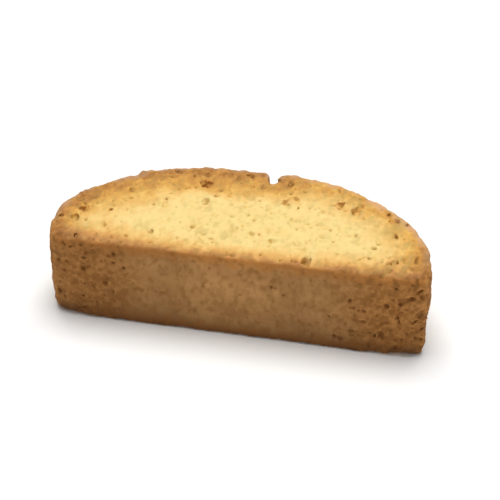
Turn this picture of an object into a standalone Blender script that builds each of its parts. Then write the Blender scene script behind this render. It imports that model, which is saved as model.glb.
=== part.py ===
"""A biscotto: one slice of a twice-baked log, lying on one of its two cut faces.

The slice has the cross-section of the log: a flat base, where the log lay on its tray,
and an arched crust over it. The cut faces are the top and the bottom of the part.

Frame: +X runs along the slice, from one side of the log to the other.
       -Y is the flat base crust, +Y the crown of the arched crust.
       +Z goes through the thickness of the slice. The part rests on Z = 0.
Origin: bottom centre of the part's box. Units are metres.
"""

from math import cos, exp, hypot, pi, sin
from random import Random

import bmesh
import bpy
from mathutils import Vector, noise
from mathutils.geometry import delaunay_2d_cdt, intersect_point_line

MM = 0.001
UP = Vector((0, 0, 1))
OUT_OF_BASE = Vector((0, -1, 0))

# Overall size of the slice.
LENGTH = 86.0 * MM
ARCH_HEIGHT = 37.0 * MM
THICKNESS = 21.0 * MM

# Cross-section: |x / half width| ^ n + |y / height| ^ n = 1 over the base line y = 0.
# The log slumped more squarely on its left side than on its right, and both sides bulge
# out a little above the base.
HALF_WIDTH = 42.6 * MM
CROWN_X = 0.45 * MM
FULLNESS_LEFT = 2.65
FULLNESS_RIGHT = 2.13
BULGE_LEFT = 2.25 * MM
BULGE_RIGHT = 0.5 * MM
BULGE_HEIGHT = 15 * MM
BULGE_SPREAD = 10 * MM
BULGE_START = 24 * MM
BULGE_FULL = 38 * MM
POLE_HEIGHT = 0.4 * ARCH_HEIGHT
CORNER_BLEND = 13.0

# Worn edges between the cut faces and the crust.
TOP_EDGE_RADIUS = 0.8 * MM
BOTTOM_EDGE_RADIUS = 0.8 * MM
TOP_END_RADIUS = 1.3 * MM
BOTTOM_END_RADIUS = 2.2 * MM
END_RADIUS_START = 26 * MM
END_RADIUS_FULL = 41 * MM
WORN_CORNER_X = 34.5 * MM
WORN_CORNER_REACH = 11 * MM
WORN_CORNER_EXTRA = 0.8 * MM

# Slow forms of the crust. The arched crust begins between two heights over the base.
ARCHED_START = 1.2 * MM
ARCHED_FULL = 7.0 * MM
SIDE_BELLY = 0.45 * MM
RIGHT_END_LEAN = 1.2 * MM
RIGHT_END_START = 21 * MM
BASE_HOLLOW = 0.3 * MM
WRINKLE_DEPTH = 0.42 * MM
WRINKLE_LENGTH = 4.2 * MM
WRINKLE_DRIFT = 0.22
WRINKLE_START = Vector((3.1, 0.7, 5.3))
BLISTER_DEPTH = 0.3 * MM
BLISTER_SIZE = 8 * MM
BLISTER_START = Vector((9.4, 2.2, 1.6))
ROUGH_END_DEPTH = 0.35 * MM
ROUGH_END_SIZE = 3.0 * MM
ROUGH_END_START = 22 * MM
ROUGH_END_FULL = 36 * MM

# A crack in the crown, a steep slot between rounded lips, and the steps where the crust
# tore as the log rose.
CRACK_X = 2.75 * MM
SLOT_DEPTH = 2.5 * MM
SLOT_HALF_WIDTH = 0.9 * MM
SLOT_WALL = 0.5 * MM
LIP_DEPTH = 1.4 * MM
LIP_HALF_WIDTH = 2.6 * MM
CRACK_FOOT_SHARE = 0.35
TEARS = (
    # x of the tear, drop of the crust on its left, distance over which the drop fades
    (-28.85 * MM, 1.4 * MM, 7 * MM),
    (-33.5 * MM, 0.5 * MM, 4 * MM),
    (-17.5 * MM, 0.4 * MM, 4 * MM),
)
TEAR_RAMP = 0.8 * MM
TEAR_SLANT = 0.1

# Low relief of the cut face on top.
FACE_RELIEF = 0.28 * MM
FACE_RELIEF_SIZE = 9 * MM
FACE_RELIEF_START = Vector((4.2, 8.8, 0.4))
FACE_GRAIN = 0.12 * MM
FACE_GRAIN_SIZE = 3.5 * MM
FACE_GRAIN_START = Vector((1.3, 6.1, 2.9))

# Air holes of the crumb that the knife opened: x, y above the base crust, radius.
LARGE_HOLES = (
    (-12.0 * MM, 28.3 * MM, 1.15 * MM),
    (-10.2 * MM, 20.6 * MM, 0.95 * MM),
    (7.5 * MM, 31.0 * MM, 0.7 * MM),
    (19.7 * MM, 25.4 * MM, 0.9 * MM),
    (23.7 * MM, 24.0 * MM, 1.1 * MM),
    (31.1 * MM, 23.6 * MM, 0.75 * MM),
    (16.0 * MM, 2.7 * MM, 1.1 * MM),
    (-37.2 * MM, 8.8 * MM, 0.85 * MM),
)
HOLE_SEED = 11
SMALL_HOLES = 16
SMALL_HOLE_RADIUS = (0.5 * MM, 0.75 * MM)
HOLE_SPACING = 3.2 * MM
HOLE_MARGIN = 2.2 * MM
HOLE_SINK = 0.25
HOLE_STRETCH = (0.85, 1.2)
HOLE_UNEVENNESS = 0.22
PIT_SEED = 5
BASE_PITS = 14
BASE_PIT_RADIUS = (0.45 * MM, 0.8 * MM)
BASE_PIT_MARGIN = 3.0 * MM

# Mesh density.
OUTLINE_POINTS = 164
CRACK_EXTRA_DENSITY = 4
CRACK_DENSE_REACH = LIP_HALF_WIDTH
OUTLINE_SAMPLES = 4000
HALVINGS = 40
SIDE_ROWS = 9
EDGE_STEPS = 3
FACE_SPACING = 2.0 * MM
FACE_MARGIN = 0.7 * FACE_SPACING
TRIANGLES_INSIDE = 1
MERGE_DISTANCE = 1e-7


def smooth_step(value, start, full):
    """Rise from 0 at start to 1 at full, with level ends."""
    share = min(max((value - start) / (full - start), 0.0), 1.0)
    return share * share * (3.0 - 2.0 * share)


# ---------------------------------------------------------------- cross-section


def arch_radius(angle):
    """Distance from the pole to the arch in one direction, found by halving the range."""
    fullness = FULLNESS_LEFT if cos(angle) < 0 else FULLNESS_RIGHT
    low, high = 0.0, LENGTH
    for _ in range(HALVINGS):
        middle = (low + high) / 2
        across = abs(middle * cos(angle)) / HALF_WIDTH
        up = abs(POLE_HEIGHT + middle * sin(angle)) / ARCH_HEIGHT
        if across ** fullness + up ** fullness > 1.0:
            high = middle
        else:
            low = middle
    return low


def outline_point(angle):
    """One point of the cross-section: the arch and the base line, with blended corners."""
    radius = arch_radius(angle)
    if sin(angle) < 0:
        base_radius = POLE_HEIGHT / -sin(angle)
        power = CORNER_BLEND
        radius = (radius ** -power + base_radius ** -power) ** (-1 / power)
    return Vector((CROWN_X + radius * cos(angle), POLE_HEIGHT + radius * sin(angle)))


def outline():
    """Points round the cross-section at even steps, closer together at the crack."""
    samples = [outline_point(2 * pi * i / OUTLINE_SAMPLES) for i in range(OUTLINE_SAMPLES)]
    travelled = [0.0]
    for here, there in zip(samples, samples[1:] + samples[:1]):
        middle = (here + there) / 2
        at_crack = exp(-((middle.x - CRACK_X) / CRACK_DENSE_REACH) ** 2)
        on_arch = 1.0 if middle.y > POLE_HEIGHT else 0.0
        density = 1.0 + CRACK_EXTRA_DENSITY * at_crack * on_arch
        travelled.append(travelled[-1] + (there - here).length * density)
    points = []
    sample = 0
    for i in range(OUTLINE_POINTS):
        target = travelled[-1] * i / OUTLINE_POINTS
        while travelled[sample + 1] < target:
            sample += 1
        points.append(samples[sample])
    return points


def outward_normals(points):
    """Unit normals of the outline, from each point's two neighbours."""
    normals = []
    for before, after in zip(points[-1:] + points[:-1], points[1:] + points[:1]):
        along = after - before
        normals.append(Vector((along.y, -along.x)).normalized())
    return normals


# ---------------------------------------------------------------- relief


def on_arched_crust(point):
    """1 on the arched crust, 0 on the base crust, with a soft change at the two corners."""
    return smooth_step(point.y, ARCHED_START, ARCHED_FULL)


def bulge(point):
    """How far the sides of the log stand out over the base."""
    size = BULGE_LEFT if point.x < 0 else BULGE_RIGHT
    at_height = exp(-((point.y - BULGE_HEIGHT) / BULGE_SPREAD) ** 2)
    return size * at_height * smooth_step(abs(point.x), BULGE_START, BULGE_FULL)


def crack(point, height):
    """The crack in the crown, deepest at the upper cut face."""
    across = abs(point.x - CRACK_X)
    slot = SLOT_DEPTH * smooth_step(-across, -SLOT_HALF_WIDTH - SLOT_WALL, -SLOT_HALF_WIDTH)
    lips = LIP_DEPTH * smooth_step(-across, -LIP_HALF_WIDTH, -SLOT_HALF_WIDTH)
    share = CRACK_FOOT_SHARE + (1 - CRACK_FOOT_SHARE) * smooth_step(height, 0, THICKNESS)
    return -(slot + lips) * share


def tears(point, height):
    """Steps in the arched crust, each with its lower side on the left."""
    depth = 0.0
    for tear_x, drop, fade in TEARS:
        left_of_tear = tear_x + TEAR_SLANT * (THICKNESS - height) - point.x
        if left_of_tear > 0:
            depth -= drop * min(left_of_tear / TEAR_RAMP, 1.0) * exp(-left_of_tear / fade)
    return depth


def crust_relief(point, height):
    """How far the crust stands out of the plain cross-section at one point of the side."""
    arched = on_arched_crust(point)
    level = height / THICKNESS
    wrinkle_at = Vector((point.x, point.y, WRINKLE_DRIFT * height)) / WRINKLE_LENGTH
    wrinkles = WRINKLE_DEPTH * noise.noise(wrinkle_at + WRINKLE_START)
    blister_at = Vector((point.x, point.y, height)) / BLISTER_SIZE
    blisters = BLISTER_DEPTH * noise.noise(blister_at + BLISTER_START)
    belly = SIDE_BELLY * (4 * level * (1 - level) - 0.5)
    lean = RIGHT_END_LEAN * (1 - level) * smooth_step(point.x, RIGHT_END_START, LENGTH / 2)
    on_arch = wrinkles + blisters + belly + bulge(point) - lean
    if point.y > POLE_HEIGHT:
        on_arch += crack(point, height) + tears(point, height)

    rough_share = smooth_step(abs(point.x), ROUGH_END_START, ROUGH_END_FULL)
    rough_at = Vector((point.x, point.y, height)) / ROUGH_END_SIZE
    rough = ROUGH_END_DEPTH * rough_share * noise.noise(rough_at)
    hollow = BASE_HOLLOW * (1 - (2 * point.x / LENGTH) ** 2)
    on_base = rough - max(hollow, 0.0)
    return arched * on_arch + (1 - arched) * on_base


def face_relief(x, y):
    """Height of the upper cut face over its plain level."""
    place = Vector((x, y, 0.0))
    broad = noise.noise(place / FACE_RELIEF_SIZE + FACE_RELIEF_START)
    grain = noise.noise(place / FACE_GRAIN_SIZE + FACE_GRAIN_START)
    return FACE_RELIEF * broad + FACE_GRAIN * grain


def edge_radii(point):
    """Radius of the lower and of the upper edge at one point of the outline."""
    at_end = smooth_step(abs(point.x), END_RADIUS_START, END_RADIUS_FULL)
    lower = BOTTOM_EDGE_RADIUS + (BOTTOM_END_RADIUS - BOTTOM_EDGE_RADIUS) * at_end
    upper = TOP_EDGE_RADIUS + (TOP_END_RADIUS - TOP_EDGE_RADIUS) * at_end
    from_worn_corner = hypot(point.x - WORN_CORNER_X, point.y) / WORN_CORNER_REACH
    upper += WORN_CORNER_EXTRA * exp(-from_worn_corner ** 2)
    return lower, upper


# ---------------------------------------------------------------- solid


def side_profile(lower, upper):
    """Inset and height up the side: the lower edge, the straight crust, the upper edge."""
    profile = []
    for step in range(EDGE_STEPS):
        angle = pi / 2 * step / EDGE_STEPS
        profile.append((lower * (1 - sin(angle)), lower * (1 - cos(angle))))
    for row in range(SIDE_ROWS):
        share = row / (SIDE_ROWS - 1)
        profile.append((0.0, lower + (THICKNESS - upper - lower) * share))
    for step in range(1, EDGE_STEPS + 1):
        angle = pi / 2 * step / EDGE_STEPS
        profile.append((upper * (1 - cos(angle)), THICKNESS - upper * (1 - sin(angle))))
    return profile


def side_rings(mesh):
    """Rings of vertices from the lower cut face to the upper one, joined by quads."""
    points = outline()
    normals = outward_normals(points)
    columns = []
    for point, normal in zip(points, normals):
        column = []
        for inset, height in side_profile(*edge_radii(point)):
            place = point + normal * (crust_relief(point, height) - inset)
            column.append(mesh.verts.new((place.x, place.y, height)))
        columns.append(column)
    for left, right in zip(columns, columns[1:] + columns[:1]):
        for row in range(len(left) - 1):
            mesh.faces.new((left[row], right[row], right[row + 1], left[row + 1]))
    lower_ring = [column[0] for column in columns]
    upper_ring = [column[-1] for column in columns]
    return lower_ring, upper_ring


def inside(point, ring):
    """Whether a point lies inside a closed ring of points."""
    crossings = 0
    for a, b in zip(ring, ring[1:] + ring[:1]):
        if (a.y > point.y) != (b.y > point.y):
            x = a.x + (point.y - a.y) * (b.x - a.x) / (b.y - a.y)
            crossings += x > point.x
    return crossings % 2 == 1


def distance_to_ring(point, ring):
    """Shortest distance from a point to a closed ring of points."""
    shortest = LENGTH
    for a, b in zip(ring, ring[1:] + ring[:1]):
        foot, share = intersect_point_line(point, a, b)
        if share < 0:
            foot = a
        elif share > 1:
            foot = b
        shortest = min(shortest, (point - foot.xy).length)
    return shortest


def upper_face(mesh, ring_verts):
    """Fill the upper ring with an even net of triangles that can carry the relief."""
    ring = [vert.co.xy for vert in ring_verts]
    count = len(ring)
    inner = []
    row_step = FACE_SPACING * 3 ** 0.5 / 2
    rows = int(ARCH_HEIGHT / row_step)
    per_row = int(LENGTH / FACE_SPACING)
    for row in range(rows + 1):
        for i in range(per_row + 1):
            x = -LENGTH / 2 + FACE_SPACING * (i + 0.5 * (row % 2))
            point = Vector((x, row * row_step))
            if inside(point, ring) and distance_to_ring(point, ring) > FACE_MARGIN:
                inner.append(point)
    edges = [(i, (i + 1) % count) for i in range(count)]
    net = delaunay_2d_cdt(ring + inner, edges, [], TRIANGLES_INSIDE, MERGE_DISTANCE)
    triangles = net[2]
    verts = list(ring_verts)
    verts += [mesh.verts.new((point.x, point.y, THICKNESS)) for point in inner]
    for triangle in triangles:
        mesh.faces.new([verts[i] for i in triangle])


def apply_face_relief(mesh):
    """Lift or lower the upper cut face, and less and less of the side below it."""
    for vert in mesh.verts:
        share = (vert.co.z / THICKNESS) ** 2
        vert.co.z += share * face_relief(vert.co.x, vert.co.y)


def fit_to_size(mesh):
    """Bring the box to its exact size, with its bottom centre at the origin."""
    sizes = (LENGTH, ARCH_HEIGHT, THICKNESS)
    for axis, size in enumerate(sizes):
        values = [vert.co[axis] for vert in mesh.verts]
        low, high = min(values), max(values)
        start = 0.0 if axis == 2 else -size / 2
        for vert in mesh.verts:
            vert.co[axis] = start + (vert.co[axis] - low) * size / (high - low)


def hole_places():
    """Centres and radii of the air holes in the upper cut face."""
    chance = Random(HOLE_SEED)
    holes = list(LARGE_HOLES)
    section = outline()
    while len(holes) < len(LARGE_HOLES) + SMALL_HOLES:
        x = chance.uniform(-LENGTH / 2, LENGTH / 2)
        y = chance.uniform(0, ARCH_HEIGHT)
        radius = chance.uniform(*SMALL_HOLE_RADIUS)
        place = Vector((x, y))
        if not inside(place, section) or distance_to_ring(place, section) < HOLE_MARGIN:
            continue
        if all(hypot(x - hole[0], y - hole[1]) > HOLE_SPACING for hole in holes):
            holes.append((x, y, radius))
    return holes


def pit_places():
    """Places along the length and up the base crust, and radii, of the pits at its ends."""
    chance = Random(PIT_SEED)
    pits = []
    while len(pits) < BASE_PITS:
        side = chance.choice((-1, 1))
        x = side * chance.uniform(ROUGH_END_START, LENGTH / 2 - BASE_PIT_MARGIN)
        z = chance.uniform(BASE_PIT_MARGIN, THICKNESS - BASE_PIT_MARGIN)
        radius = chance.uniform(*BASE_PIT_RADIUS)
        if all(hypot(x - pit[0], z - pit[1]) > HOLE_SPACING for pit in pits):
            pits.append((x, z, radius))
    return pits


def surface_point(body, start, direction):
    """Where a ray from outside first meets the body."""
    hit, place, _, _ = body.ray_cast(start, direction)
    if not hit:
        raise ValueError("a hole lies off the slice")
    return place


def hole_cutter(body):
    """All the air holes and pits as rough balls that are sunk a little into the surface."""
    mesh = bmesh.new()
    base_line = -ARCH_HEIGHT / 2
    centres = []
    for x, y, radius in hole_places():
        place = surface_point(body, Vector((x, base_line + y, 2 * THICKNESS)), -UP)
        centres.append((place, radius, UP))
    for x, z, radius in pit_places():
        place = surface_point(body, Vector((x, -ARCH_HEIGHT, z)), -OUT_OF_BASE)
        centres.append((place, radius, OUT_OF_BASE))
    for number, (place, radius, outward) in enumerate(centres):
        made = bmesh.ops.create_icosphere(mesh, subdivisions=2, radius=radius)
        sunk = place + outward * radius * HOLE_SINK
        stretch = HOLE_STRETCH[number % 2]
        for vert in made["verts"]:
            uneven = 1.0 + HOLE_UNEVENNESS * noise.noise(vert.co / radius + Vector((number, 0, 0)))
            vert.co = vert.co * uneven
            vert.co.x *= stretch
            vert.co += sunk
    data = bpy.data.meshes.new("air_holes")
    mesh.to_mesh(data)
    mesh.free()
    cutter = bpy.data.objects.new("air_holes", data)
    bpy.context.scene.collection.objects.link(cutter)
    cutter.hide_render = True
    cutter.display_type = "WIRE"
    return cutter


def baked_dough():
    """Pale golden crumb with a dry, matte surface."""
    material = bpy.data.materials.new("baked_dough")
    material.use_nodes = True
    shader = material.node_tree.nodes["Principled BSDF"]
    shader.inputs["Base Color"].default_value = (0.72, 0.45, 0.17, 1.0)
    shader.inputs["Roughness"].default_value = 0.85
    shader.inputs["Metallic"].default_value = 0.0
    return material


def biscotto():
    """The slice as one closed solid."""
    mesh = bmesh.new()
    lower_ring, upper_ring = side_rings(mesh)
    mesh.faces.new(list(reversed(lower_ring)))
    upper_face(mesh, upper_ring)
    apply_face_relief(mesh)
    fit_to_size(mesh)
    bmesh.ops.recalc_face_normals(mesh, faces=mesh.faces[:])
    data = bpy.data.meshes.new("biscotto")
    mesh.to_mesh(data)
    mesh.free()
    data.shade_smooth()
    data.set_sharp_from_angle(angle=pi / 4)
    data.materials.append(baked_dough())
    body = bpy.data.objects.new("biscotto", data)
    bpy.context.scene.collection.objects.link(body)
    bpy.context.view_layer.update()
    holes = body.modifiers.new("air_holes", "BOOLEAN")
    holes.operation = "DIFFERENCE"
    holes.solver = "EXACT"
    holes.object = hole_cutter(body)
    return body


def clear_scene():
    for item in list(bpy.data.objects):
        bpy.data.objects.remove(item, do_unlink=True)


clear_scene()
biscotto()
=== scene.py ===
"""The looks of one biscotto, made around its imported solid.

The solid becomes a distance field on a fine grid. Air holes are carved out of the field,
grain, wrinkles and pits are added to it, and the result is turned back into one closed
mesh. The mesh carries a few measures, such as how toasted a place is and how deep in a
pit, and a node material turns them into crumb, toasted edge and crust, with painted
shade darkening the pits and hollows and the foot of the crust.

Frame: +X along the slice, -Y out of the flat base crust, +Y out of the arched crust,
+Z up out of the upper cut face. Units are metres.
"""

from math import cos, radians, sin

import bpy
import numpy as np
import openvdb
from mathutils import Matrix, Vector


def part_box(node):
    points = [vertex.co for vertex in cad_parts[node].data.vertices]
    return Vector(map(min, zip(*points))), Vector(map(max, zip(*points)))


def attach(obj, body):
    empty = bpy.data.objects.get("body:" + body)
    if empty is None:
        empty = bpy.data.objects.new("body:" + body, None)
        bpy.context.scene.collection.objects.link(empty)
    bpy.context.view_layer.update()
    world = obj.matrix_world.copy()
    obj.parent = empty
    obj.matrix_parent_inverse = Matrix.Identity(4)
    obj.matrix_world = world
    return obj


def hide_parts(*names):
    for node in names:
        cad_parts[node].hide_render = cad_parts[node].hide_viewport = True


MM = 0.001

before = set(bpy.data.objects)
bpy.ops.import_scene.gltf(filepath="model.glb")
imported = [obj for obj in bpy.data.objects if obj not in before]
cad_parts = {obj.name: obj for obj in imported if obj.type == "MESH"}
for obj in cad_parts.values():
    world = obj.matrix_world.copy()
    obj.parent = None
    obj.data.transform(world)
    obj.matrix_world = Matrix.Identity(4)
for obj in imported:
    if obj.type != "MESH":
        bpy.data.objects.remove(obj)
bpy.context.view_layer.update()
NODE = "biscotto"
LOW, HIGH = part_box(NODE)
LENGTH, DEPTH, THICKNESS = HIGH - LOW

VOXEL = 0.22 * MM
MARGIN = 1.5 * MM
TRIANGLE_LIMIT = 190_000

# ---------------------------------------------------------------- grid and noise

FIRST = np.floor((np.array(LOW) - MARGIN) / VOXEL).astype(int)
SHAPE = tuple(int(n) for n in np.ceil((np.array(HIGH) + MARGIN) / VOXEL) - FIRST + 1)
X, Y, Z = ((FIRST[a] + np.arange(SHAPE[a], dtype=np.float32)) * VOXEL for a in range(3))
X3, Y3, Z3 = X[:, None, None], Y[None, :, None], Z[None, None, :]


def smooth_step(value, start, full):
    """Rise from 0 at start to 1 at full, with level ends, on arrays."""
    share = np.clip((value - start) / (full - start), 0.0, 1.0)
    return share * share * (3.0 - 2.0 * share)


def smooth_max(a, b, softness):
    """The larger of two fields, with a fillet where they meet."""
    overlap = np.maximum(softness - np.abs(a - b), 0.0) / softness
    return np.maximum(a, b) + overlap * overlap * softness / 4


def spline_weights(count, spacing):
    """Cubic spline weights that spread a coarse row of numbers over count voxels."""
    place = np.arange(count) / spacing
    cell = np.floor(place).astype(int)
    t = place - cell
    weights = np.zeros((count, cell[-1] + 4), np.float32)
    parts = (
        (1 - t) ** 3,
        3 * t**3 - 6 * t**2 + 4,
        -3 * t**3 + 3 * t**2 + 3 * t + 1,
        t**3,
    )
    for offset, part in enumerate(parts):
        weights[np.arange(count), cell + offset] = part / 6
    return weights


def noise_field(size, seed):
    """Smooth noise over the grid, mean 0 and spread 1. Size is one length or three."""
    sizes = np.broadcast_to(size, 3)
    spread = [spline_weights(SHAPE[a], max(sizes[a] / VOXEL, 1.0)) for a in range(3)]
    chance = np.random.default_rng(seed)
    field = chance.standard_normal([w.shape[1] for w in spread]).astype(np.float32)
    field = np.tensordot(spread[0], field, (1, 0))
    field = np.tensordot(field, spread[1], (1, 1))
    field = np.tensordot(field, spread[2], (1, 1))
    return field / field.std()


def blurred(field, radius):
    """The field after two box blurs along each axis."""
    reach = max(int(round(radius / VOXEL)), 1)
    width = 2 * reach + 1
    for axis in range(3):
        for _ in range(2):
            padding = [(0, 0)] * 3
            padding[axis] = (reach + 1, reach)
            total = np.cumsum(np.pad(field, padding, mode="edge"), axis=axis, dtype=np.float64)
            upper = np.take(total, np.arange(width, total.shape[axis]), axis=axis)
            lower = np.take(total, np.arange(total.shape[axis] - width), axis=axis)
            field = ((upper - lower) / width).astype(np.float32)
    return field


def sampled(field, points):
    """Values of a grid field at points, from the eight voxels round each."""
    place = np.clip(points / VOXEL - FIRST, 0, np.array(SHAPE) - 1.001)
    cell = place.astype(int)
    t = place - cell
    value = np.zeros(len(points))
    for corner in range(8):
        step = np.array([corner & 1, corner >> 1 & 1, corner >> 2 & 1])
        weight = np.prod(np.where(step, t, 1 - t), axis=1)
        i, j, k = (cell + step).T
        value += weight * field[i, j, k]
    return value


# ---------------------------------------------------------------- the plain solid


def solid_field():
    """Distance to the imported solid's surface, below 0 inside."""
    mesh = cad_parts[NODE].data
    mesh.calc_loop_triangles()
    points = np.empty(len(mesh.vertices) * 3, np.float32)
    mesh.vertices.foreach_get("co", points)
    triangles = np.empty(len(mesh.loop_triangles) * 3, np.int32)
    mesh.loop_triangles.foreach_get("vertices", triangles)
    grid = openvdb.FloatGrid.createLevelSetFromPolygons(
        points.reshape(-1, 3),
        triangles=triangles.reshape(-1, 3).astype(np.uint32),
        transform=openvdb.createLinearTransform(voxelSize=VOXEL),
        halfWidth=6,
    )
    field = np.empty(SHAPE, np.float32)
    grid.copyToArray(field, ijk=tuple(int(i) for i in FIRST))
    return field


def section_outline(field):
    """Points of the solid's outline at half its thickness."""
    section = field[:, :, SHAPE[2] // 2]
    found = []
    for axis in (0, 1):
        here = section[:-1, :] if axis == 0 else section[:, :-1]
        there = section[1:, :] if axis == 0 else section[:, 1:]
        cells = np.argwhere((here < 0) != (there < 0))
        i, j = cells.T
        share = here[i, j] / (here[i, j] - there[i, j])
        place = cells.astype(float)
        place[:, axis] += share
        found.append(place)
    return (np.concatenate(found) + FIRST[:2]) * VOXEL


def distance_to(points):
    """Distance in plan from each column of the grid to the nearest of the points."""
    plan = np.empty(SHAPE[:2], np.float32)
    for i, x in enumerate(X):
        gap = (x - points[:, 0]) ** 2 + (Y[:, None] - points[None, :, 1]) ** 2
        plan[i] = np.sqrt(gap.min(axis=1))
    return plan


SOLID = solid_field()
OUTLINE = section_outline(SOLID)
BASE_Y = float(LOW.y)
ON_BASE = OUTLINE[:, 1] < BASE_Y + 1.2 * MM
FROM_ARCH = distance_to(OUTLINE[~ON_BASE])
FROM_BASE = distance_to(OUTLINE[ON_BASE])
FROM_SIDE = np.minimum(FROM_ARCH, FROM_BASE)
# The crack in the crown opened late, so the toasted band doesn't follow its walls.
BY_CRACK = np.abs(OUTLINE[:, 0] - 2.75 * MM) < 2.8 * MM
FROM_OPEN_ARCH = distance_to(OUTLINE[~ON_BASE & ~BY_CRACK])


def cut_share():
    """1 on the cut faces, 0 on the crust, with the change along the worn edges."""
    from_face = np.minimum(Z3 - float(LOW.z), float(HIGH.z) - Z3)
    return smooth_step(FROM_SIDE[:, :, None] - from_face, -0.6 * MM, 0.6 * MM)


def base_share():
    """1 on the base crust, 0 on the arched one, in plan."""
    return smooth_step(FROM_ARCH - FROM_BASE, -1.0 * MM, 1.0 * MM)[:, :, None]


def rough_share():
    """1 where the crust is rough: at the ends of the base and round their corners."""
    on_right = smooth_step(X3, 0.21 * LENGTH, 0.4 * LENGTH)
    on_left = smooth_step(-X3, 0.17 * LENGTH, 0.36 * LENGTH)
    near_base = 1 - smooth_step(Y3 - BASE_Y, 2.5 * MM, 10 * MM)
    return np.maximum(on_right, on_left) * near_base


# ---------------------------------------------------------------- air holes and pits

# The crumb rose towards the crown, so its pores are longer that way.
PORE_STRETCH = (0.9, 1.6, 1.0)

# The solid's large air holes: x, y above the base crust, radius.
LARGE_HOLES = (
    (-12.0 * MM, 28.3 * MM, 1.15 * MM),
    (-10.2 * MM, 20.6 * MM, 0.95 * MM),
    (7.5 * MM, 31.0 * MM, 0.7 * MM),
    (19.7 * MM, 25.4 * MM, 0.9 * MM),
    (23.7 * MM, 24.0 * MM, 1.1 * MM),
    (31.1 * MM, 23.6 * MM, 0.75 * MM),
    (16.0 * MM, 2.7 * MM, 1.1 * MM),
    (-37.2 * MM, 8.8 * MM, 0.85 * MM),
)


def carve(field, place, radii, warp, softness):
    """Cut one uneven hole, an ellipsoid in warped space, out of the field."""
    reach = (max(radii) * 1.5 + 2 * softness) / VOXEL + 1
    centre = np.array(place) / VOXEL - FIRST
    start = np.maximum(np.floor(centre - reach).astype(int), 0)
    stop = np.minimum(np.ceil(centre + reach).astype(int) + 1, SHAPE)
    if (stop <= start).any():
        return
    window = tuple(slice(a, b) for a, b in zip(start, stop))
    square = 0.0
    for axis, line in enumerate((X3, Y3, Z3)):
        lines = [slice(None) if a == axis else slice(0, 1) for a in range(3)]
        lines[axis] = window[axis]
        offset = line[tuple(lines)] + warp[axis][window] - place[axis]
        square = square + (offset / radii[axis]) ** 2
    outside = (np.sqrt(square) - 1) * min(radii)
    field[window] = smooth_max(field[window], -outside, softness)


def hole_radii(chance, smallest, largest, power):
    """Three radii of one hole. Small holes are far more common than large ones."""
    size = smallest * (largest / smallest) ** (chance.random() ** power)
    return size * chance.uniform(0.75, 1.3, 3)


def face_height(upward):
    """Height of the upper or the lower cut face over each column, with its holes closed."""
    solid = SOLID < 0
    if upward:
        height = np.where(solid, Z3, -1.0).max(axis=2)
    else:
        height = -np.where(solid, Z3, 1.0).min(axis=2)
    reach = int(1.5 * MM / VOXEL)
    for axis in (0, 1):
        lines = [np.roll(height, step, axis) for step in range(-reach, reach + 1)]
        height = np.max(lines, axis=0)
    return height if upward else -height


def face_holes(field, warp, count, sizes, power, depths, seed, keep):
    """Air holes cut open on both cut faces. Keep says how likely a hole is at a place."""
    chance = np.random.default_rng(seed)
    for upward in (True, False):
        heights = face_height(upward)
        made = 0
        while made < count:
            i = chance.integers(SHAPE[0])
            j = chance.integers(SHAPE[1])
            inset = FROM_SIDE[i, j] if SOLID[i, j, SHAPE[2] // 2] < 0 else -1.0
            if inset < 0.9 * MM or chance.random() > keep(X[i], inset):
                continue
            radii = hole_radii(chance, *sizes, power) * np.array((0.9, 1.25, 1.0))
            sunk = radii[2] * chance.uniform(*depths)
            z = heights[i, j] - sunk if upward else heights[i, j] + sunk
            carve(field, (X[i], Y[j], z), radii, warp, 0.12 * MM)
            made += 1


def deepen_large_holes(field, warp):
    """The solid's large air holes go deeper into the crumb."""
    for x, y, radius in LARGE_HOLES:
        place = (x, BASE_Y + y, float(HIGH.z) - 0.45 * radius)
        carve(field, place, (1.0 * radius, 1.5 * radius, 1.2 * radius), warp, 0.12 * MM)


def crust_pits(field, warp, count, sizes, power, stretch, seed, keep):
    """Pits in the crust round the side. Keep says how likely a pit is at a place."""
    chance = np.random.default_rng(seed)
    made = 0
    while made < count:
        x, y = OUTLINE[chance.integers(len(OUTLINE))]
        z = chance.uniform(1.2 * MM, THICKNESS - 0.8 * MM)
        if chance.random() > keep(x, y, z):
            continue
        radii = hole_radii(chance, *sizes, power) * np.array(stretch)
        inward = chance.uniform(-0.5, 0.1) * radii[0]
        inward_x = -np.sign(x) * inward * min(abs(x) / (0.5 * LENGTH), 1.0) ** 2
        inward_y = inward if y < BASE_Y + 1.2 * MM else -inward * 0.7
        carve(field, (x + inward_x, y + inward_y, z), radii, warp, 0.1 * MM)
        made += 1


def add_holes(field):
    """All air holes, pits and short cracks."""
    warp = [0.16 * MM * noise_field(0.8 * MM, seed) for seed in (21, 22, 23)]

    def anywhere(x, inset):
        return 1.0

    def in_toasted_band(x, inset):
        return 1.0 if inset < 7 * MM else 0.03

    deepen_large_holes(field, warp)
    shallow, deep = (-0.9, -0.45), (-0.6, 0.0)
    face_holes(field, warp, 260, (0.3 * MM, 0.6 * MM), 1.3, shallow, 31, anywhere)
    face_holes(field, warp, 130, (0.6 * MM, 1.2 * MM), 1.3, shallow, 34, anywhere)
    face_holes(field, warp, 120, (0.25 * MM, 0.5 * MM), 1.5, deep, 33, in_toasted_band)

    def on_rough_end(x, y, z):
        if y > BASE_Y + 1.2 * MM:
            return 0.15
        return 0.02 + 0.98 * smooth_step(abs(x), 0.22 * LENGTH, 0.40 * LENGTH)

    def on_crust(x, y, z):
        return 1.0 if y > BASE_Y + 1.2 * MM else 0.15

    crust_pits(field, warp, 240, (0.25 * MM, 0.6 * MM), 1.4, (1, 1, 1.0), 41, on_rough_end)
    crust_pits(field, warp, 760, (0.12 * MM, 0.26 * MM), 1.2, (1, 1, 1.3), 42, on_crust)
    crust_pits(field, warp, 60, (0.16 * MM, 0.24 * MM), 1.0, (1, 1, 7.0), 43, on_crust)
    return field


# ---------------------------------------------------------------- relief


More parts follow.
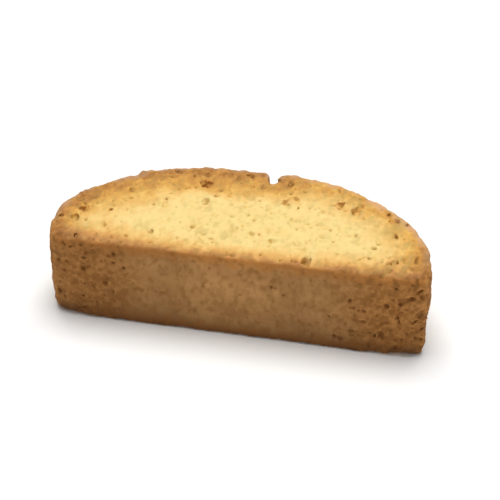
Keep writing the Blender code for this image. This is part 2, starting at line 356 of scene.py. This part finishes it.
def spots(size, seed, start, full):
    """Uneven spots where noise of one size and finer noise rise from start to full, 0 to 1."""
    sizes = size * np.array(PORE_STRETCH)
    uneven = 0.87 * noise_field(sizes, seed) + 0.5 * noise_field(0.45 * sizes, seed + 100)
    return smooth_step(uneven, start, full)


def near_crust():
    """1 in the toasted band of the cut faces next to the crust, 0 in the pale crumb."""
    from_arch = smooth_step(FROM_ARCH, 5 * MM, 12 * MM)
    from_base = smooth_step(FROM_BASE, 0.8 * MM, 3.0 * MM)
    return 1 - (from_arch * from_base)[:, :, None]


def granular_corner():
    """1 at the worn right corner of the base, where the crumb shows through."""
    gap = np.hypot(X3 - 0.44 * LENGTH, Y3 - BASE_Y) + 0 * Z3
    return 1 - smooth_step(gap, 4 * MM, 16 * MM)


def pitting():
    """How far each place lies in a natural pit, 0 to 1, with denser pits on rough parts."""
    soft = spots(1.5 * MM, 63, 0.5, 1.9)
    pocks = spots(1.1 * MM, 64, 0.95, 1.45)
    wide = spots(1.0 * MM, 61, 0.3, 2.3)
    dense = spots(0.75 * MM, 62, 0.5, 1.9)
    cut, base, rough = cut_share(), base_share(), rough_share()
    crumb = np.maximum(0.65 * wide, near_crust() * np.maximum(0.8 * dense, 0.7 * soft))
    crumb = np.maximum(crumb, granular_corner() * np.maximum(pocks, dense))
    smooth_base = np.maximum(0.55 * wide, 0.7 * dense)
    rough_base = np.maximum(0.7 * wide, np.maximum(pocks, 0.8 * dense))
    crust = 0.35 * dense
    crust = crust + base * (smooth_base - crust)
    crust = crust + rough * (rough_base - crust)
    return np.clip(crust + cut * (crumb - crust), 0, 1)


def relief():
    """How far grain, wrinkles and pits lift the surface at each place."""
    cut, base, rough = cut_share(), base_share(), rough_share()
    fine = noise_field(0.42 * MM, 1)
    small = noise_field(0.9 * MM, 2)
    broad = noise_field(2.6 * MM, 3)
    crumbs = spots(0.45 * MM, 7, 0.9, 2.2)
    clumps = spots(0.9 * MM, 8, 0.4, 1.8)

    crumb = 0.03 * fine + 0.03 * small + 0.06 * broad
    crumb = crumb + near_crust() * (0.03 * fine + 0.07 * small + 0.07 * crumbs)
    crumb = crumb + granular_corner() * (0.12 * clumps + 0.1 * crumbs)

    streaks = noise_field((0.6 * MM, 0.6 * MM, 5 * MM), 5)
    arch = 0.02 * fine + 0.02 * small + 0.03 * broad + 0.04 * streaks

    drag = noise_field((0.45 * MM, 0.6 * MM, 1.8 * MM), 6)
    smooth_base = 0.02 * fine + 0.025 * drag + 0.02 * small
    rough_base = 0.03 * fine + 0.04 * small + 0.06 * broad + 0.09 * crumbs
    rough_base = rough_base + granular_corner() * 0.05 * clumps
    crust = arch + base * (smooth_base - arch)
    crust = crust + rough * (rough_base - crust)
    depth = (0.2 + 0.06 * rough) * smooth_step(Z3 - LOW.z, 0.3 * MM, 1.5 * MM)
    return (crust + cut * (crumb - crust) - depth * PITS) * MM


PITS = pitting()


def detailed_field():
    """The solid with its holes and relief, standing flat on its lower cut face."""
    field = add_holes(SOLID.copy()) - relief()
    return smooth_max(field, (float(LOW.z) - Z3) * np.ones_like(field), 0.1 * MM)


# ---------------------------------------------------------------- mesh


def largest_piece(points, quads):
    """Drop closed bubbles and loose specks: only the largest joined surface stays."""
    label = np.arange(len(points))
    edges = np.concatenate([quads[:, [0, 1]], quads[:, [1, 2]], quads[:, [2, 3]]])
    while True:
        lowest = np.minimum(label[edges[:, 0]], label[edges[:, 1]])
        new = label.copy()
        np.minimum.at(new, edges[:, 0], lowest)
        np.minimum.at(new, edges[:, 1], lowest)
        new = new[new]
        if (new == label).all():
            break
        label = new
    names, counts = np.unique(label, return_counts=True)
    kept = label == names[counts.argmax()]
    index = np.cumsum(kept) - 1
    return points[kept], index[quads[kept[quads[:, 0]]]]


def surface_mesh(field):
    """The field's zero surface as one closed Blender mesh within the triangle limit."""
    grid = openvdb.FloatGrid()
    grid.copyFromArray(field)
    points, quads = grid.convertToQuads(0.0)
    points, quads = largest_piece(points, quads.astype(int))
    mesh = bpy.data.meshes.new("biscotto_slice")
    mesh.from_pydata((points + FIRST) * VOXEL, [], quads)
    item = bpy.data.objects.new("biscotto_slice", mesh)
    bpy.context.scene.collection.objects.link(item)
    if 2 * len(quads) > TRIANGLE_LIMIT:
        thin = item.modifiers.new("thin", "DECIMATE")
        thin.ratio = TRIANGLE_LIMIT / (2 * len(quads))
        view = bpy.context.evaluated_depsgraph_get()
        item.data = bpy.data.meshes.new_from_object(item.evaluated_get(view))
        item.modifiers.clear()
        bpy.data.meshes.remove(mesh)
    item.data.name = "biscotto_slice"
    item.data.shade_smooth()
    return item


# How toasted the cut faces are, at distances in from the arched crust in millimetres.
TOAST_DEPTHS = (1, 2.5, 3.5, 4.5, 6, 8, 10.5, 14, 18)
TOAST_LEFT = (0.85, 0.8, 0.78, 0.7, 0.54, 0.37, 0.25, 0.1, 0)
TOAST_MIDDLE = (0.82, 0.8, 0.8, 0.75, 0.63, 0.48, 0.3, 0, 0)
TOAST_RIGHT = (0.45, 0.42, 0.38, 0.3, 0.23, 0.19, 0.07, 0, 0)
TOAST_CORNER = (0.85, 0.68, 0.56, 0.45, 0.3, 0.15, 0.03, 0, 0)
# The same in from the base crust, under the crown and towards the ends.
BASE_TOAST_DEPTHS = (0, 0.75, 1.5, 2.5, 3.5, 5, 7.5, 9)
BASE_TOAST_MIDDLE = (0.85, 0.7, 0.56, 0.4, 0.22, 0.07, 0, 0)
BASE_TOAST_ENDS = (0.92, 0.8, 0.7, 0.56, 0.4, 0.18, 0.04, 0)


def toasting():
    """How toasted the cut faces are over each column, 0 for pale crumb and 1 for brown."""
    along = X[:, None] / LENGTH
    wobble = 0.5 * noise_field(3.5 * MM, 51)[:, :, SHAPE[2] // 2]
    depth = np.maximum(FROM_OPEN_ARCH / MM + wobble, 0)
    left, middle, right, corner = (
        np.interp(depth, TOAST_DEPTHS, shares)
        for shares in (TOAST_LEFT, TOAST_MIDDLE, TOAST_RIGHT, TOAST_CORNER)
    )
    arch = left + (middle - left) * smooth_step(along, -0.3, -0.1)
    arch = arch + (right - arch) * smooth_step(along, 0.03, 0.16)
    near_base = smooth_step(-FROM_BASE, -15 * MM, -8 * MM)
    arch = arch + (corner - arch) * smooth_step(np.abs(along), 0.3, 0.42) * near_base
    depth = np.maximum(FROM_BASE / MM + 0.25 * wobble, 0)
    inner = np.interp(depth, BASE_TOAST_DEPTHS, BASE_TOAST_MIDDLE)
    outer = np.interp(depth, BASE_TOAST_DEPTHS, BASE_TOAST_ENDS)
    base = inner + (outer - inner) * smooth_step(np.abs(along), 0.12, 0.36)
    return 1 - (1 - arch) * (1 - base)


def rim():
    """1 along the thin dry rim where the arched crust shows in the cut faces."""
    uneven = FROM_ARCH + 0.35 * MM * noise_field(1.5 * MM, 52)[:, :, SHAPE[2] // 2]
    above_base = smooth_step(Y[None, :] - BASE_Y, 3 * MM, 12 * MM)
    return (1 - smooth_step(uneven, 0.9 * MM, 2.4 * MM)) * above_base


def painted_foot_shade_share(points):
    """How far the base crust is darkened: painted shade low down at the foot, reaching higher at the
    ends, and a darker tone away from the middle and on the left.
    """
    height = (points[:, 2] - LOW.z) / MM
    along = points[:, 0] / LENGTH
    # Painted shade: darker low down, where the floor shades the foot of the crust, and higher up at the
    # ends.
    middle = np.interp(height, (0.3, 1, 2, 4, 9, 14), (1.0, 0.76, 0.6, 0.37, 0.13, 0.05))
    ends = np.interp(height, (0.3, 1, 2, 3, 4, 9, 14), (1.0, 0.97, 0.8, 0.5, 0.3, 0.1, 0.05))
    shade_low_down = middle + (ends - middle) * smooth_step(np.abs(along), 0.28, 0.44)
    # A darker tone away from the middle and on the left.
    outward = 0.15 * smooth_step(np.abs(along), 0.05, 0.16)
    on_left = 0.11 * smooth_step(-along, 0.2, 0.32)
    return 1 - (1 - shade_low_down) * (1 - outward) * (1 - on_left)


def measure(item, field):
    """Store on each vertex what the material needs to know about its place."""
    mesh = item.data
    points = np.empty(len(mesh.vertices) * 3)
    mesh.vertices.foreach_get("co", points)
    points = points.reshape(-1, 3)
    ones = np.ones(SHAPE, np.float32)
    cavity = -sampled(blurred(np.clip(field, -1.2 * MM, 1.2 * MM), 0.55 * MM), points)
    measures = {
        "cut": sampled(cut_share() * ones, points),
        "base": sampled(base_share() * ones, points),
        "rough": sampled(rough_share() * ones, points),
        "toast": sampled(toasting()[:, :, None] * ones, points),
        "rim": sampled(rim()[:, :, None] * ones, points),
        # How far the crust is darkened: painted shade low down at the foot, and a darker tone away from
        # the middle and on the left.
        "foot_shade_and_darker_tone": painted_foot_shade_share(points),
        "from_face": np.minimum(points[:, 2] - LOW.z, HIGH.z - points[:, 2]) / MM,
        "cavity": cavity / MM,
        "pitted": sampled(PITS, points),
    }
    for name, values in measures.items():
        attribute = mesh.attributes.new(name, "FLOAT", "POINT")
        attribute.data.foreach_set("value", values.astype(np.float32))


# ---------------------------------------------------------------- material


class Nodes:
    """Short ways to add and join the nodes of one material."""

    def __init__(self, tree):
        self.tree = tree

    def add(self, kind, **settings):
        node = self.tree.nodes.new(kind)
        for name, value in settings.items():
            setattr(node, name, value)
        return node

    def join(self, source, target):
        if isinstance(source, (int, float, tuple)):
            target.default_value = source
        else:
            self.tree.links.new(source, target)

    def attribute(self, name):
        return self.add("ShaderNodeAttribute", attribute_name=name).outputs["Fac"]

    def math(self, operation, a, b=0.0, c=0.0):
        node = self.add("ShaderNodeMath", operation=operation)
        for source, target in zip((a, b, c), node.inputs):
            self.join(source, target)
        return node.outputs[0]

    def step(self, value, start, full, low=0.0, high=1.0):
        """Go smoothly from low to high as value goes from start to full."""
        node = self.add("ShaderNodeMapRange", interpolation_type="SMOOTHSTEP")
        for source, target in zip((value, start, full, low, high), node.inputs):
            self.join(source, target)
        return node.outputs[0]

    def mix(self, share, a, b, blend="MIX"):
        node = self.add("ShaderNodeMix", data_type="RGBA", blend_type=blend)
        self.join(share, node.inputs["Factor"])
        self.join(a, node.inputs[6])
        self.join(b, node.inputs[7])
        return node.outputs[2]

    def ramp(self, value, stops):
        """A colour read from stops, each a value from 0 up and its colour."""
        node = self.add("ShaderNodeValToRGB")
        top = stops[-1][0]
        self.join(self.math("DIVIDE", value, top), node.inputs[0])
        elements = node.color_ramp.elements
        while len(elements) < len(stops):
            elements.new(1.0)
        for element, (place, colour) in zip(elements, stops):
            element.position = place / top
            element.color = (*colour, 1)
        return node.outputs[0]

    def noise(self, size, detail=2.0, stretch=(1, 1, 1), shift=0.0):
        """Noise in the part's own frame, about 0.5, with features of one size in metres."""
        place = self.add("ShaderNodeMapping")
        self.join(self.add("ShaderNodeTexCoord").outputs["Object"], place.inputs["Vector"])
        place.inputs["Scale"].default_value = [1 / (size * s) for s in stretch]
        place.inputs["Location"].default_value = (shift, 2 * shift, 3 * shift)
        noise = self.add("ShaderNodeTexNoise")
        self.join(place.outputs[0], noise.inputs["Vector"])
        noise.inputs["Scale"].default_value = 1.0
        noise.inputs["Detail"].default_value = detail
        return noise.outputs["Fac"]


TOASTING = (
    # toasting, colour
    (0.0, (0.850, 0.640, 0.250)),
    (0.15, (0.825, 0.535, 0.185)),
    (0.3, (0.755, 0.445, 0.130)),
    (0.45, (0.690, 0.370, 0.100)),
    (0.6, (0.590, 0.294, 0.083)),
    (0.75, (0.500, 0.238, 0.070)),
    (0.9, (0.410, 0.183, 0.054)),
    (1.05, (0.290, 0.118, 0.032)),
    (1.2, (0.190, 0.070, 0.018)),
)


def cut_face_colour(nodes):
    """Pale yellow crumb that turns to toasted gold and brown towards the crust."""
    toast = nodes.attribute("toast")
    wide = nodes.math("SUBTRACT", nodes.noise(3.5 * MM, 3.0, (0.9, 1.4, 1), shift=1.0), 0.5)
    patches = nodes.math("MULTIPLY", wide, nodes.step(toast, 0.05, 0.4, 0.22, 0.75))
    grains = nodes.math("MULTIPLY_ADD", nodes.noise(1.5 * MM, 2.0, (0.9, 1.5, 1), shift=3.0), 1.1, -0.55)
    graininess = nodes.step(toast, 0.0, 0.8, 0.22, 0.75)
    uneven = nodes.math("MULTIPLY_ADD", grains, graininess, nodes.math("ADD", toast, patches))
    colour = nodes.ramp(uneven, TOASTING)
    flecks = nodes.step(nodes.noise(1.4 * MM, 3.0, (0.9, 1.5, 1), shift=2.0), 0.48, 0.80, 0.0, 0.5)
    dull = nodes.mix(nodes.step(toast, 0.1, 0.45), (0.62, 0.42, 0.12, 1), (0.5, 0.245, 0.06, 1))
    colour = nodes.mix(flecks, colour, dull)
    golden = nodes.mix(nodes.attribute("base"), (1, 0.98, 0.8, 1), (1, 1.0, 1.06, 1))
    colour = nodes.mix(nodes.step(toast, 0.1, 0.5), colour, golden, "MULTIPLY")
    dry = nodes.mix(nodes.step(toast, 0.45, 0.85), (0.66, 0.37, 0.185, 1), (0.52, 0.295, 0.155, 1))
    return nodes.mix(nodes.math("MULTIPLY", nodes.attribute("rim"), 0.85), colour, dry)


def base_colour(nodes):
    """Smooth tan-brown base crust."""
    cloud = nodes.step(nodes.noise(6 * MM, 3.0, (1.6, 1, 0.8), shift=5.0), 0.35, 0.65)
    smooth = nodes.mix(cloud, (0.60, 0.315, 0.108, 1), (0.51, 0.252, 0.083, 1))
    grain = nodes.step(nodes.noise(1.7 * MM, 2.0, (0.8, 1, 1.3), shift=6.0), 0.42, 0.66)
    return nodes.mix(nodes.math("MULTIPLY", grain, 0.42), smooth, (0.34, 0.155, 0.042, 1))


def arch_colour(nodes):
    """Brown arched crust with faint streaks through the thickness and a paler rim."""
    cloud = nodes.step(nodes.noise(9 * MM, 4.0, shift=8.0), 0.36, 0.64)
    tan = nodes.mix(cloud, (0.52, 0.28, 0.098, 1), (0.4, 0.183, 0.052, 1))
    streaks = nodes.step(nodes.noise(0.8 * MM, 3.0, (1, 1, 7), shift=9.0), 0.45, 0.75)
    colour = nodes.mix(nodes.math("MULTIPLY", streaks, 0.32), tan, (0.27, 0.115, 0.03, 1))
    at_rim = nodes.step(nodes.attribute("from_face"), 0.5, 1.5, 0.85, 0.0)
    return nodes.mix(at_rim, colour, (0.62, 0.345, 0.14, 1))


def crust_colour(nodes):
    """All the crust: smooth, rough and orange at the ends, with painted shade at the foot."""
    base, rough = nodes.attribute("base"), nodes.attribute("rough")
    colour = nodes.mix(base, arch_colour(nodes), base_colour(nodes))
    clumps = nodes.step(nodes.noise(1.1 * MM, 3.0, shift=7.0), 0.36, 0.64)
    coarse = nodes.mix(clumps, (0.58, 0.26, 0.068, 1), (0.42, 0.175, 0.038, 1))
    colour = nodes.mix(rough, colour, coarse)
    uneven = nodes.math("MULTIPLY_ADD", nodes.noise(2 * MM, 2.0), 5.0, nodes.attribute("from_face"))
    at_edge = nodes.math("MULTIPLY", nodes.step(uneven, 3.0, 6.2, 0.9, 0.0), base)
    colour = nodes.mix(at_edge, colour, (0.56, 0.225, 0.048, 1))
    # Painted shade: the crust is multiplied towards dark grey low down at the foot, where the floor
    # shades it, fully on the base crust and half on the arch.
    foot_shade_and_darker_tone = nodes.math("MULTIPLY", nodes.attribute("foot_shade_and_darker_tone"), nodes.step(base, 0.0, 1.0, 0.5, 1.0))
    return nodes.mix(foot_shade_and_darker_tone, colour, (0.2, 0.18, 0.2, 1), "MULTIPLY")


def baked_dough():
    material = bpy.data.materials.new("baked_dough")
    material.use_nodes = True
    nodes = Nodes(material.node_tree)
    shader = material.node_tree.nodes["Principled BSDF"]
    colour = nodes.mix(nodes.attribute("cut"), crust_colour(nodes), cut_face_colour(nodes))
    # Pit colours, darker than the crumb and crust round them: partly the toasted inside of the pits,
    # partly painted shade in the hollows, darkest where the cavity is deepest.
    open_pit_shaded = nodes.mix(nodes.attribute("toast"), (0.60, 0.43, 0.135, 1), (0.3, 0.12, 0.022, 1))
    deep_pit_shaded = nodes.mix(nodes.attribute("toast"), (0.46, 0.28, 0.065, 1), (0.2, 0.084, 0.012, 1))
    crumb_pit_shaded = nodes.mix(nodes.step(nodes.attribute("cavity"), 0.12, 0.28), open_pit_shaded, deep_pit_shaded)
    pit = nodes.mix(nodes.attribute("cut"), (0.27, 0.11, 0.022, 1), crumb_pit_shaded)
    # Painted shade: the deeper the cavity, and the more a place lies in a natural pit, the more its
    # colour goes to the dark pit colour.
    pit_shade_share = nodes.step(nodes.attribute("cavity"), 0.05, 0.26, 0.0, 0.8)
    pitted = nodes.math("MULTIPLY", nodes.attribute("pitted"), 0.8)
    pit_shade_share = nodes.math("MAXIMUM", pit_shade_share, pitted)
    colour = nodes.mix(pit_shade_share, colour, pit)
    nodes.join(colour, shader.inputs["Base Color"])
    shader.inputs["Roughness"].default_value = 0.85
    shader.inputs["Specular IOR Level"].default_value = 0.25
    shader.inputs["Subsurface Weight"].default_value = 0.12
    shader.inputs["Subsurface Radius"].default_value = (1.0, 0.5, 0.2)
    shader.inputs["Subsurface Scale"].default_value = 0.8 * MM
    bump = nodes.add("ShaderNodeBump")
    bump.inputs["Strength"].default_value = 0.6
    bump.inputs["Distance"].default_value = 0.06 * MM
    nodes.join(nodes.noise(0.3 * MM, 3.0, shift=10.0), bump.inputs["Height"])
    nodes.join(bump.outputs[0], shader.inputs["Normal"])
    return material


# ---------------------------------------------------------------- stage, light, camera


def floor():
    """A plain white floor far wider than the view, which fades into the white surroundings."""
    reach = 3.0
    corners = [(-reach, -reach, 0), (reach, -reach, 0), (reach, reach, 0), (-reach, reach, 0)]
    mesh = bpy.data.meshes.new("floor")
    mesh.from_pydata(corners, [], [(0, 1, 2, 3)])
    item = bpy.data.objects.new("floor", mesh)
    bpy.context.scene.collection.objects.link(item)
    item.location.z = float(LOW.z) - 0.05 * MM
    material = bpy.data.materials.new("floor_white")
    material.use_nodes = True
    shader = material.node_tree.nodes["Principled BSDF"]
    shader.inputs["Base Color"].default_value = (0.98, 0.98, 0.97, 1)
    shader.inputs["Roughness"].default_value = 0.9
    shader.inputs["Specular IOR Level"].default_value = 0.0
    nodes = Nodes(material.node_tree)
    length = nodes.add("ShaderNodeVectorMath", operation="LENGTH")
    nodes.join(nodes.add("ShaderNodeNewGeometry").outputs["Position"], length.inputs[0])
    far = nodes.step(length.outputs["Value"], 120 * MM, 350 * MM)
    seen = nodes.add("ShaderNodeLightPath").outputs["Is Camera Ray"]
    blend = nodes.add("ShaderNodeMixShader")
    nodes.join(nodes.math("MULTIPLY", far, seen), blend.inputs[0])
    nodes.join(shader.outputs[0], blend.inputs[1])
    nodes.join(nodes.add("ShaderNodeEmission").outputs[0], blend.inputs[2])
    nodes.join(blend.outputs[0], material.node_tree.nodes["Material Output"].inputs["Surface"])
    mesh.materials.append(material)


def area_light(name, place, aim, size, power, colour=(1, 1, 1)):
    data = bpy.data.lights.new(name, "AREA")
    data.shape = "SQUARE"
    data.size = size
    data.energy = power
    data.color = colour
    item = bpy.data.objects.new(name, data)
    bpy.context.scene.collection.objects.link(item)
    item.location = place
    item.rotation_euler = (Vector(aim) - Vector(place)).to_track_quat("-Z", "Y").to_euler()
    return item


def studio():
    """White surroundings and one large soft light above, a little behind the slice."""
    world = bpy.data.worlds.new("studio")
    bpy.context.scene.world = world
    world.use_nodes = True
    background = world.node_tree.nodes["Background"]
    background.inputs["Color"].default_value = (1, 1, 1, 1)
    nodes = Nodes(world.node_tree)
    seen = nodes.add("ShaderNodeLightPath").outputs["Is Camera Ray"]
    nodes.join(nodes.math("MULTIPLY_ADD", seen, 0.76, 0.24), background.inputs["Strength"])
    area_light("overhead", (-0.02, 0.15, 0.8), (0, 0, 0), 0.58, 6.6)
    area_light("front_fill", (0.2, -0.6, 0.9), (0, 0, 0), 0.6, 0.9)
    bpy.context.scene.view_settings.view_transform = "Standard"


def camera():
    """The photographer's place: over the base side, a little to the right."""
    azimuth, elevation = radians(11.8), radians(35.1)
    distance = 331.5 * MM
    centre = (LOW + HIGH) / 2 + Vector((0.57, -0.3, 0.2)) * MM
    away = Vector((sin(azimuth) * cos(elevation), -cos(azimuth) * cos(elevation), sin(elevation)))
    data = bpy.data.cameras.new("camera")
    data.sensor_width = 36
    data.lens = 105
    data.clip_start = 0.01
    item = bpy.data.objects.new("camera", data)
    bpy.context.scene.collection.objects.link(item)
    item.location = centre + away * distance
    item.rotation_euler = (-away).to_track_quat("-Z", "Y").to_euler()
    bpy.context.scene.camera = item


field = detailed_field()
slice_piece = surface_mesh(field)
measure(slice_piece, field)
slice_piece.data.materials.append(baked_dough())
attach(slice_piece, "root")
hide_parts(NODE)
floor()
studio()
camera()
